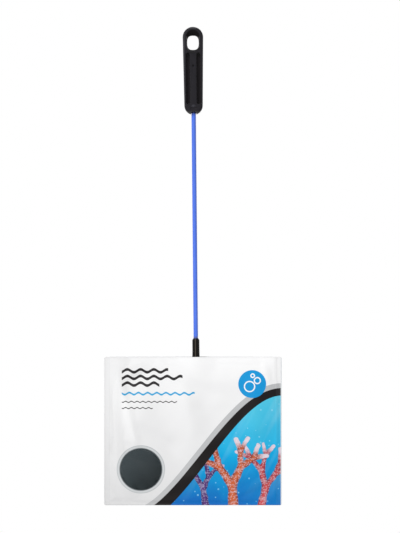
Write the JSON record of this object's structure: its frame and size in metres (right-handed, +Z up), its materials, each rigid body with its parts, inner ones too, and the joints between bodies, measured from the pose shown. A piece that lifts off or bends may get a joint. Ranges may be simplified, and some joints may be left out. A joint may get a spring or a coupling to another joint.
{
  "type": "aquarium fish net",
  "caption": "Aquarium fish net with a moulded hang-slot handle, coated wire stem and wire hoop with a fine mesh bag, in a printed film pouch that pulls off.",
  "frame": {"origin": "centre of the hang slot, in the middle of the handle's thickness", "axes": "+Z up along the stem from the net head to the handle, -Y out of the printed front, +X to the right seen from the front"},
  "size_m": [0.162, 0.0127, 0.4337],
  "materials": {
    "handle_plastic": "satin black moulding",
    "steel_wire": "drawn wire",
    "blue_coat": "satin extruded plastic",
    "ferrule_plastic": "gloss black",
    "weld": "rough weld metal",
    "hem_mesh": "doubled fine mesh",
    "bag_mesh": "fine mesh",
    "printed_film": "printed soft film",
    "plain_film": "plain soft film"
  },
  "bodies": {
    "net": {"handle": "handle_plastic", "stem_core": "steel_wire", "stem_coat": "blue_coat", "ferrule": "ferrule_plastic", "weld_beads": "weld", "hoop_core": "steel_wire", "hoop_coat": "blue_coat", "net_hem": "hem_mesh", "net_bag": "bag_mesh"},
    "pouch": {"pouch_front": "printed_film", "pouch_back": "plain_film"}
  },
  "joints": [
    {"name": "pouch_slide", "type": "slide", "parent": "net", "child": "pouch", "axis": [-0.0096, 0, -1], "range_m": [0, 0.135]}
  ]
}
